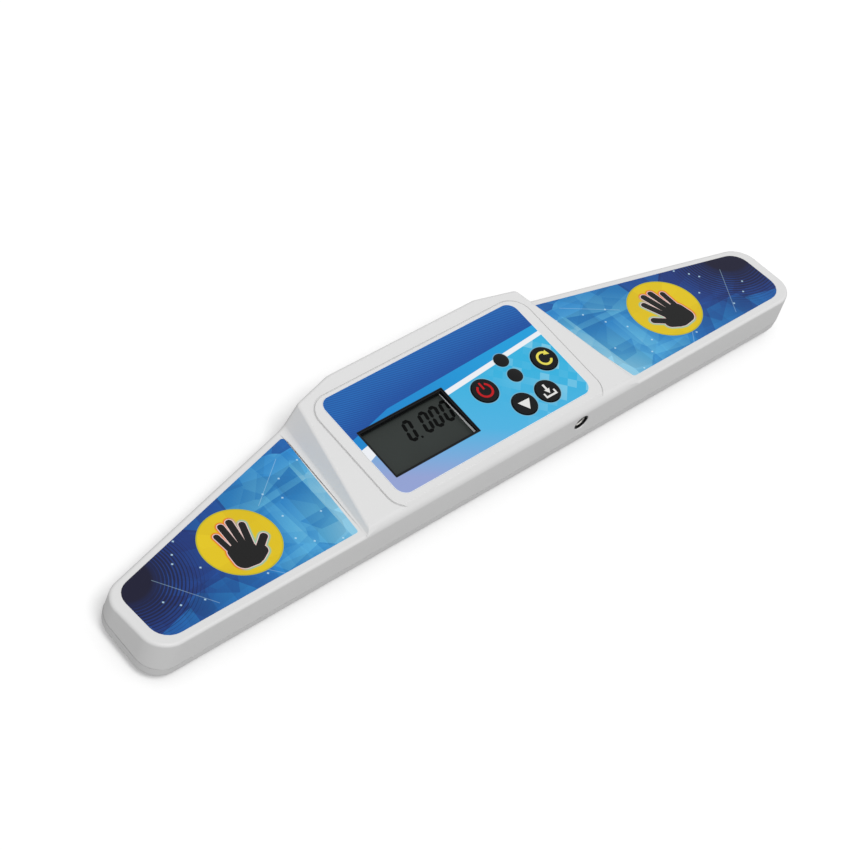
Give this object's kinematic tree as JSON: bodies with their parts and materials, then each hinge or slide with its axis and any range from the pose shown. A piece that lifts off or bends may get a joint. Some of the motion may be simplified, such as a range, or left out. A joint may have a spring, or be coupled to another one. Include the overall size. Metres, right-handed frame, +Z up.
{
  "type": "speed cube timer",
  "caption": "Long low two-hand timer with a raised middle that holds a recessed display, round push keys and lamp windows, and a printed touch pad on each sloping wing.",
  "frame": {"origin": "on the floor under the middle of the case, at the centre of the overall length and depth", "axes": "+X to the right tip as the user sees it, +Y from the user to the back, +Z up"},
  "size_m": [0.28, 0.055, 0.022],
  "materials": {
    "case_plastic": "satin white moulded plastic",
    "face_print": "printed film, satin gloss",
    "pad_print": "printed film, satin gloss",
    "display_glass": "dark liquid crystal cell, gloss",
    "reflector_foil": "matt foil",
    "black_plastic": "black moulded plastic",
    "smoked_plastic": "dark smoked acrylic",
    "silicone": "layered silicone strip",
    "board_laminate": "green solder mask",
    "switch_metal": "pressed steel cover",
    "plunger_plastic": "ivory plastic",
    "lamp_plastic": "clear green resin",
    "plated_metal": "nickel plated",
    "copper_foil": "bare copper foil",
    "ribbon_film": "amber film",
    "battery_skin": "wrapped cell",
    "spring_steel": "nickel plated spring steel",
    "screw_steel": "zinc plated",
    "foot_rubber": "soft grey rubber"
  },
  "bodies": {
    "case": {"top_shell": "case_plastic", "bottom_shell": "case_plastic", "face_sheet": "face_print", "left_pad_sheet": "pad_print", "right_pad_sheet": "pad_print", "display_cell": "display_glass", "display_reflector": "reflector_foil", "display_holder": "black_plastic", "display_rim": "black_plastic", "contact_strip": "silicone", "main_board": "board_laminate", "controller_chip": "black_plastic", "quartz_crystal": "plated_metal", "storage_capacitor": "plated_metal", "buzzer": "black_plastic", "power_switch": "switch_metal", "reset_switch": "switch_metal", "down_switch": "switch_metal", "save_switch": "switch_metal", "front_lamp_window": "smoked_plastic", "back_lamp_window": "smoked_plastic", "front_lamp": "lamp_plastic", "back_lamp": "lamp_plastic", "jack_housing": "black_plastic", "jack_sleeve": "plated_metal", "left_touch_plate": "copper_foil", "right_touch_plate": "copper_foil", "left_touch_ribbon": "ribbon_film", "right_touch_ribbon": "ribbon_film", "front_battery": "battery_skin", "back_battery": "battery_skin", "front_spring_contact": "spring_steel", "back_spring_contact": "spring_steel", "front_plate_contact": "spring_steel", "back_plate_contact": "spring_steel", "case_screws": "screw_steel", "board_screws": "screw_steel", "front_left_foot": "foot_rubber", "front_right_foot": "foot_rubber", "back_left_foot": "foot_rubber", "back_right_foot": "foot_rubber"},
    "power_button": {"power_key": "black_plastic", "power_plunger": "plunger_plastic"},
    "reset_button": {"reset_key": "black_plastic", "reset_plunger": "plunger_plastic"},
    "down_button": {"down_key": "black_plastic", "down_plunger": "plunger_plastic"},
    "save_button": {"save_key": "black_plastic", "save_plunger": "plunger_plastic"},
    "door": {"battery_door": "case_plastic"}
  },
  "joints": [
    {"name": "power_press", "type": "slide", "parent": "case", "child": "power_button", "axis": [0, 0, -1], "range_m": [0, 0.0004], "stiffness_N_per_m": 800, "springref_m": -0.0005},
    {"name": "reset_press", "type": "slide", "parent": "case", "child": "reset_button", "axis": [0, 0, -1], "range_m": [0, 0.0004], "stiffness_N_per_m": 800, "springref_m": -0.0005},
    {"name": "down_press", "type": "slide", "parent": "case", "child": "down_button", "axis": [0, 0, -1], "range_m": [0, 0.0004], "stiffness_N_per_m": 800, "springref_m": -0.0005},
    {"name": "save_press", "type": "slide", "parent": "case", "child": "save_button", "axis": [0, 0, -1], "range_m": [0, 0.0004], "stiffness_N_per_m": 800, "springref_m": -0.0005},
    {"name": "door_slide", "type": "slide", "parent": "case", "child": "door", "axis": [0, 1, 0], "range_m": [0, 0.026]}
  ]
}
